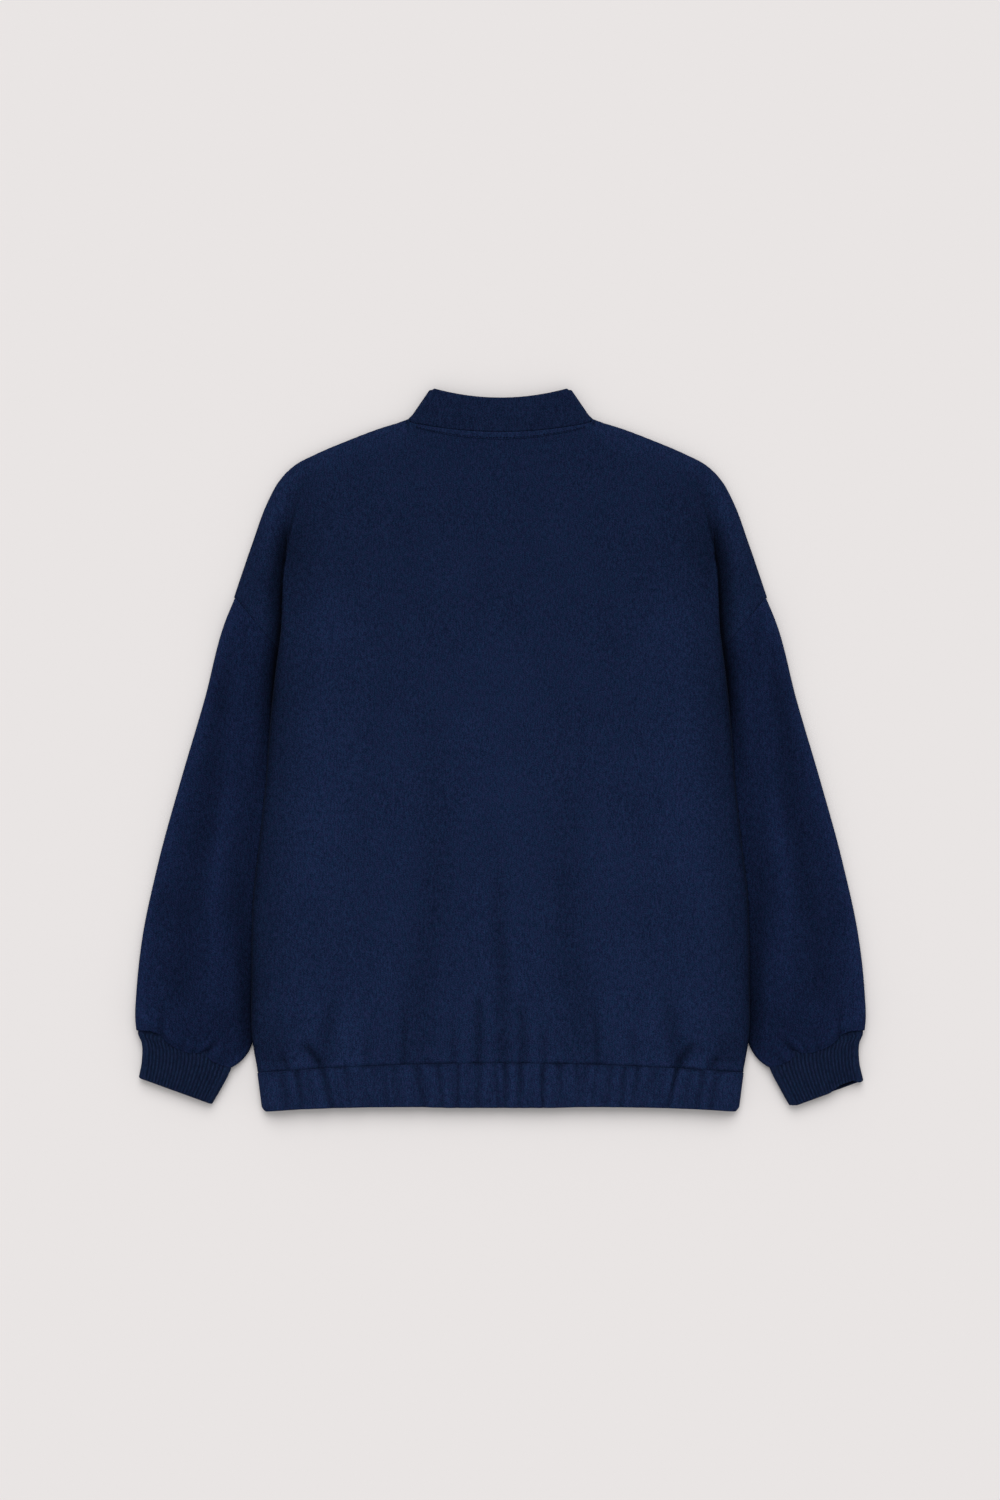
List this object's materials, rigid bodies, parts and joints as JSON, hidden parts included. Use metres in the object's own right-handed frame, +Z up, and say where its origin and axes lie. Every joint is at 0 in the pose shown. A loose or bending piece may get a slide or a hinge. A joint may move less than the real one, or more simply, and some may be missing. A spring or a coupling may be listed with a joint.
{
  "type": "bomber jacket",
  "caption": "Oversized wool bomber jacket laid flat with its back up: stand collar, dropped shoulders, full sleeves with rib-knit cuffs and a gathered elastic waistband.",
  "frame": {"origin": "centre of the laid jacket's outline, on the surface that it lies on", "axes": "+Z up out of the back panel, +Y towards the collar, +X towards the wearer's right sleeve"},
  "size_m": [0.7018, 0.6959, 0.0164],
  "materials": {
    "wool": "brushed wool twill, deep navy, dull",
    "wool_sleeve": "brushed wool twill, deep navy, dull",
    "rib_knit": "fine rib knit, deep navy, dull"
  },
  "bodies": {
    "root": {"back": "wool", "front_left": "wool", "front_right": "wool", "sleeve_left": "wool_sleeve", "sleeve_right": "wool_sleeve", "cuff_left": "rib_knit", "cuff_right": "rib_knit", "waistband": "wool", "collar": "wool", "neck_band": "wool", "placket": "wool"}
  },
  "joints": []
}
